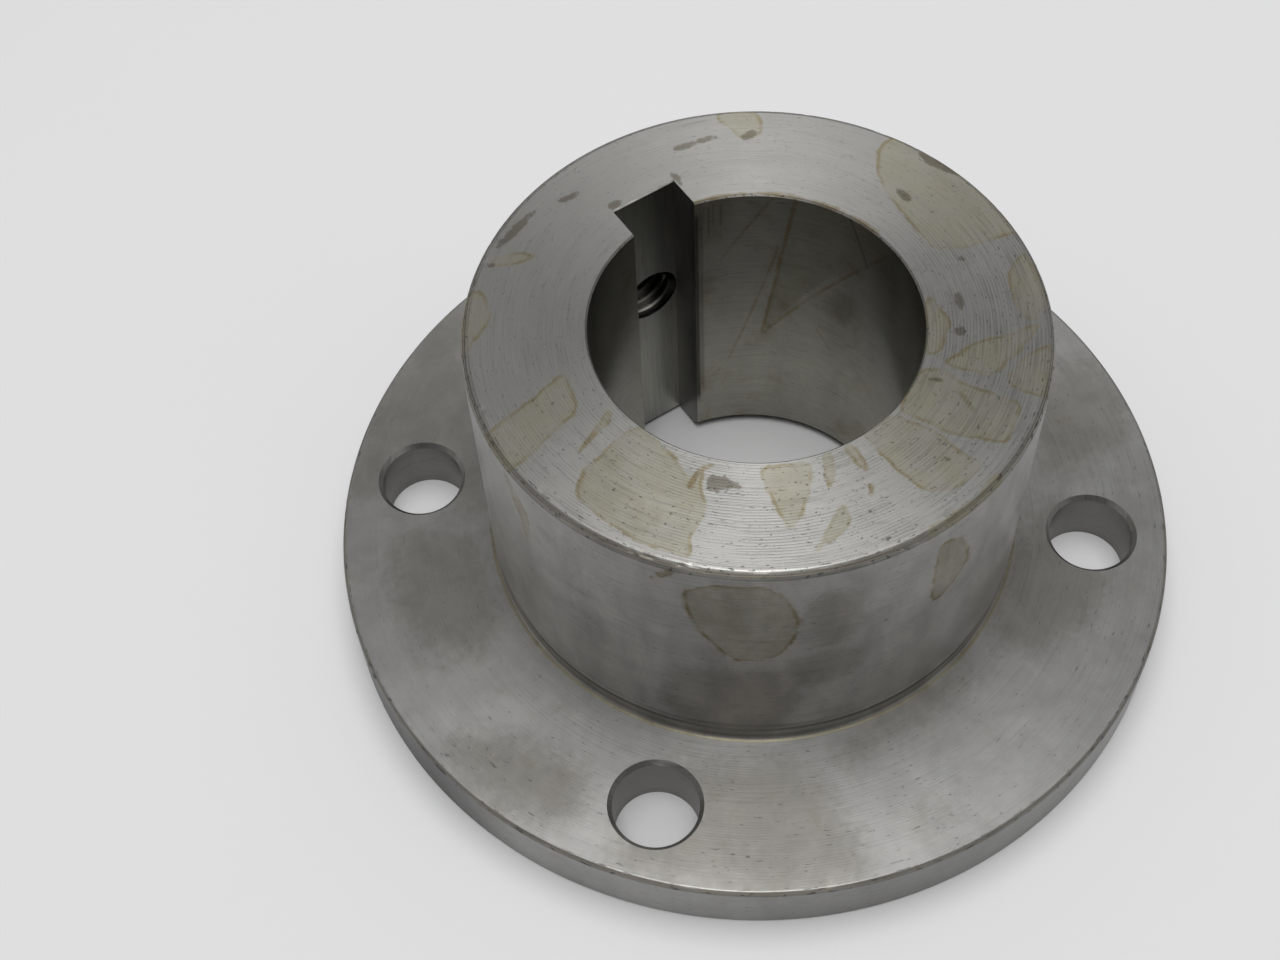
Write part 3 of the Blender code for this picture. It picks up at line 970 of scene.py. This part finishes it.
# What each key of a look means:
# grain: "rings" round the axis on a flat face, "turns" round a wall, or "strokes" along the axis
# colour, metal, grazing_tint, rough: the bare steel; rough_fine and rough_cloud vary its roughness
# fine, broad, cloud, mottle: how much each noise varies the tone; grooves, marks: how dark those are
# feed: the pitch of the facing cut's ridges, or 0 for none
# dash_from, speck_from: the noise level at which a dash or a speck starts, so higher is rarer
# bump_*: the height of each, in millimetres; stretch: the anisotropy
# zone: whose stains lie on it; film_*, tide_*, streak_*, grime_*: how strong, tinted, soft and torn they are
# foxing: strength of faint rusty clouds
# fades: (direction, start, end, tone at the start, tone at the end), with places along it in millimetres;
# most finishes use them for painted light and shade
BASE_LOOK = dict(
    grain="rings", zone=None, foxing=0.0, colour=rgb(0.28, 0.275, 0.265), rough=0.42, rough_fine=0.10,
    rough_cloud=0.10, fine=0.22, feed=0.0, grooves=0.10, broad=0.12, cloud=0.16, mottle=0.15,
    dash_from=0.70, speck_from=0.72, marks=0.5, bump_fine=0.010, bump_grooves=0.004, bump_broad=0.004,
    bump_marks=0.010, stretch=0.75, metal=1.0, grazing_tint=rgb(1.0, 1.0, 1.0), film_share=0.9,
    film_tint=FILM_TINT, tide_share=0.6, film_dull=0.08, streak_share=0.9, grime_share=0.75,
    grime_tint=GRIME_TINT, grime_soft=0.22, grime_torn=1.1, fades=(),
)

# Each finish's changes to the base look
LOOKS = {
    "faced_nose": dict(
        zone="nose", colour=rgb(0.318, 0.314, 0.300), rough=0.45, fine=0.38, feed=0.42, grooves=0.20,
        marks=0.6, dash_from=0.67, speck_from=0.705, bump_fine=0.012, bump_grooves=0.016,
        film_share=0.8, film_dull=0.10, streak_share=0.8,
    ),
    "faced_flange": dict(
        zone="flange", colour=rgb(0.307, 0.304, 0.294), rough=0.43, fine=0.25, feed=0.38, grooves=0.08,
        mottle=0.55, marks=0.4, foxing=0.18, film_share=0.0, tide_share=0.0, streak_share=0.3,
        grime_share=0.3, grime_soft=4.0, grime_torn=6.0, grime_tint=rgb(0.43, 0.37, 0.25),
        fades=[(BACK_LEFT, 30.0, 50.0, 1.0, 0.91)],
    ),
    "faced_back": dict(marks=0.4, foxing=0.2, feed=0.40, grooves=0.15),
    "turned_wall": dict(
        grain="turns", zone="wall", colour=rgb(0.377, 0.370, 0.352), rough=0.36, cloud=0.3, mottle=0.9,
        film_share=0.8, film_tint=rgb(0.74, 0.70, 0.55), tide_share=0.7, streak_share=0.5,
        grime_share=0.5, grime_soft=2.6, grime_torn=3.4,
        # Painted reflections: the wall is drawn lighter low down, where it mirrors the flange, darker towards
        # the camera's side, where it mirrors the dim room there, and lighter at its left edge, a painted
        # sheen
        fades=[(UPWARDS, 13.0, 34.0, 1.0, 0.82), (FRONT, 33.0, 37.5, 1.03, 0.80),
               (SIDEWAYS, -37.4, -35.6, 1.11, 1.0)],
    ),
    "turned_rim": dict(
        grain="turns", colour=rgb(0.249, 0.247, 0.240), rough=0.36, foxing=0.3, mottle=0.4,
        # Painted light and shade: the rim is drawn dark at its far left end, lighter just inside it, and
        # darker again further right
        fades=[(SIDEWAYS, -59.3, -54.0, 0.42, 1.3), (SIDEWAYS, -48.0, -20.0, 1.0, 0.82)],
    ),
    "bored_wall": dict(
        grain="turns", zone="bore", colour=rgb(0.272, 0.267, 0.230), rough=0.30, mottle=0.45, foxing=0.5,
        film_share=0.5, tide_share=0.0,
        grime_share=0.35, grime_soft=2.0, grime_torn=4.0, grime_tint=RUST_TINT,
        # Painted shade: the bore is drawn darker towards the top and lighter low down, where it mirrors the
        # floor below
        fades=[(UPWARDS, 14.0, 38.0, 1.0, 0.64)],
    ),
    # Painted shade: a dark finish for the grooves at the hub's foot
    "relief_groove": dict(grain="turns", colour=rgb(0.21, 0.20, 0.176), rough=0.45, fine=0.4, mottle=0.8),
    "foot_fillet": dict(grain="turns", colour=rgb(0.26, 0.243, 0.183), rough=0.48, foxing=0.6, mottle=0.9),
    "worn_edge": dict(
        zone="nose", colour=rgb(0.28, 0.275, 0.256), rough=0.40, fine=0.4, mottle=0.5, foxing=0.35,
        marks=0.7, dash_from=0.62, speck_from=0.66, tide_share=0.3,
    ),
    "bright_edge": dict(
        zone="nose", colour=rgb(0.36, 0.355, 0.345), rough=0.36, fine=0.4, mottle=0.4,
        marks=0.6, dash_from=0.64, tide_share=0.3,
    ),
    # Painted shade: a dark finish for the fine steps and the undercut in a broken edge
    "soiled_edge": dict(colour=rgb(0.15, 0.128, 0.095), rough=0.5, mottle=0.8),
    "hole_edge": dict(colour=rgb(0.30, 0.295, 0.28), rough=0.42, marks=0.3, foxing=0.5, mottle=0.8),
    "bright_burr": dict(
        colour=rgb(0.44, 0.43, 0.40), rough=0.5, fine=0.5, marks=0.8, mottle=1.2, foxing=0.5,
    ),
    "drilled_hole": dict(
        grain="turns", colour=rgb(0.24, 0.235, 0.225), rough=0.40, fine=0.4, foxing=0.3, marks=0.25,
    ),
    "broached_floor": dict(
        grain="strokes", colour=rgb(0.290, 0.288, 0.256), rough=0.34, fine=0.4,
        # Painted light and shade: the keyway's floor is drawn darker towards the nose end and lighter towards
        # its +X side
        fades=[(UPWARDS, 14.0, 36.0, 1.0, 0.5), (SIDEWAYS, 1.8, 4.7, 1.0, 1.7)],
    ),
    "broached_side": dict(
        # Painted shade: the keyway's side is drawn darker than its floor, darkest low down and next to the
        # bore, lighter towards the nose end
        grain="strokes", colour=rgb(0.19, 0.186, 0.176), rough=0.34, fine=0.4,
        fades=[(UPWARDS, 18.0, 46.0, 0.75, 2.2), (KEYWARDS, 21.0, 22.6, 0.7, 1.0)],
    ),
    "tapped_hole": dict(
        # Painted light and shade in the tapped hole: pale flanks, drawn dark next to the keyway's floor and
        # towards +X, and a near-black grazing tint that dims the reflection round its mouth
        grain="turns", colour=rgb(0.50, 0.485, 0.46), rough=0.22, marks=0.4, foxing=0.3,
        grazing_tint=rgb(0.05, 0.05, 0.05),
        fades=[(KEYWARDS, 26.3, 27.4, 0.3, 2.0), (SIDEWAYS, 0.0, 3.4, 1.0, 0.12)],
    ),
    "tapped_crest": dict(
        # Painted highlights: pale, partly non-metal crests for the bright thread lines, drawn dark next to
        # the keyway's floor and towards +X, with the same dark grazing tint
        grain="turns", colour=rgb(0.80, 0.78, 0.72), rough=0.5, metal=0.35, marks=0.4, foxing=0.3,
        grazing_tint=rgb(0.05, 0.05, 0.05),
        fades=[(KEYWARDS, 26.0, 26.8, 0.4, 1.25), (SIDEWAYS, -0.5, 3.2, 1.0, 0.08)],
    ),
}


def black_oxide():
    """Blackened steel that shows lighter where the coating has rubbed thin."""
    tree = Tree(bpy.data.materials.new("black_oxide"))
    place = tree.place()
    cloud = tree.noise(place, 0.5, 3.0, 0.6)
    fine = tree.noise(place, 3.5, 3.0, 0.6)
    worn = tree.smooth(cloud, 0.52, 0.75)
    colour = tree.blend(worn, rgb(0.030, 0.029, 0.031), rgb(0.085, 0.080, 0.076))
    rough = tree.scale_add(fine, 0.22, 0.28)
    bump = tree.add("ShaderNodeBump", {"Height": fine, "Distance": MM, "Strength": 0.01}).outputs[0]
    inputs = {"Base Color": colour, "Roughness": rough, "Normal": bump, "Metallic": 0.9}
    tree.feed_shader("Principled BSDF", inputs)
    return tree.owner


def paper_floor():
    """Matt pale paper, with faint clouds."""
    tree = Tree(bpy.data.materials.new("paper_floor"))
    coordinates = tree.add("ShaderNodeTexCoord").outputs["Object"]
    cloud = tree.noise(coordinates, 9.0, 3.0, 0.5)
    colour = tree.blend(cloud, rgb(0.84, 0.84, 0.85), rgb(0.87, 0.87, 0.88))
    tree.feed_shader("Principled BSDF", {"Base Color": colour, "Roughness": 0.75, "Specular IOR Level": 0.2})
    return tree.owner


MATERIALS = {name: turned_steel(name, {**BASE_LOOK, **changes}) for name, changes in LOOKS.items()}
MATERIALS["black_oxide"] = black_oxide()

# ------------ stage

# Metres, apart from the camera's places, which are millimetres
FLOOR_HALF = 1.6
FLOOR_GAP = 0.00005
CAMERA_PLACE = (-87.68, -118.92, 237.28)
CAMERA_AIM = (-10.91, 12.77, 9.10)
CAMERA_LENS = 52.52
CAMERA_ROLL_DEG = -3.572
LIGHT_AIM = (0, 0, 0.02)


def make_floor():
    """A large flat sheet just under the flange."""
    half = FLOOR_HALF
    mesh = bpy.data.meshes.new("floor")
    corners = [(-half, -half, 0), (half, -half, 0), (half, half, 0), (-half, half, 0)]
    mesh.from_pydata(corners, [], [(0, 1, 2, 3)])
    mesh.materials.append(paper_floor())
    floor = link("floor", mesh)
    floor.location.z = -FLOOR_GAP


def make_camera():
    """Three-quarter view from above, aimed at the middle of the frame and rolled slightly."""
    position = Vector(CAMERA_PLACE) * MM
    target = Vector(CAMERA_AIM) * MM
    data = bpy.data.cameras.new("camera")
    data.lens = CAMERA_LENS
    data.sensor_width = 36.0
    data.clip_start = 0.01
    data.clip_end = 20.0
    camera = link("camera", data)
    aim = (target - position).to_track_quat("-Z", "Y").to_matrix().to_4x4()
    roll = Matrix.Rotation(math.radians(CAMERA_ROLL_DEG), 4, "Z")
    camera.matrix_world = Matrix.Translation(position) @ aim @ roll
    bpy.context.scene.camera = camera


def make_area_light(name, position, size, power):
    """A round soft white light, aimed at the hub."""
    data = bpy.data.lights.new(name, "AREA")
    data.shape = "DISK"
    data.size = size
    data.energy = power
    light = link(name, data)
    light.location = position
    light.rotation_euler = (Vector(LIGHT_AIM) - Vector(position)).to_track_quat("-Z", "Y").to_euler()


def make_world(strength, front_share):
    """Even white light all round, dimmer low down on the camera's side of the room."""
    tree = Tree(bpy.data.worlds.new("studio"))
    direction = tree.add("ShaderNodeTexCoord").outputs["Generated"]
    level = tree.smooth(tree.along(direction, FRONT), 0.3, 0.95, 1.0, front_share)
    tree.feed_shader("Background", {"Color": level, "Strength": strength})
    bpy.context.scene.world = tree.owner


# ------------ the scene

hub = make_hub()
write_stains(hub)
finish_mesh(hub)
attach(hub, "hub")
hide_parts("flanged_hub")

screw = make_screw()
finish_mesh(screw)
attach(screw, "screw")
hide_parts("set_screw")

make_floor()
make_camera()
make_area_light("overhead", (0.075, 0.10, 1.1), 0.86, 5.35)
make_area_light("fill", (-0.20, -0.27, 1.05), 0.40, 2.2)
make_world(0.36, 0.3)
bpy.context.scene.view_settings.view_transform = "Standard"
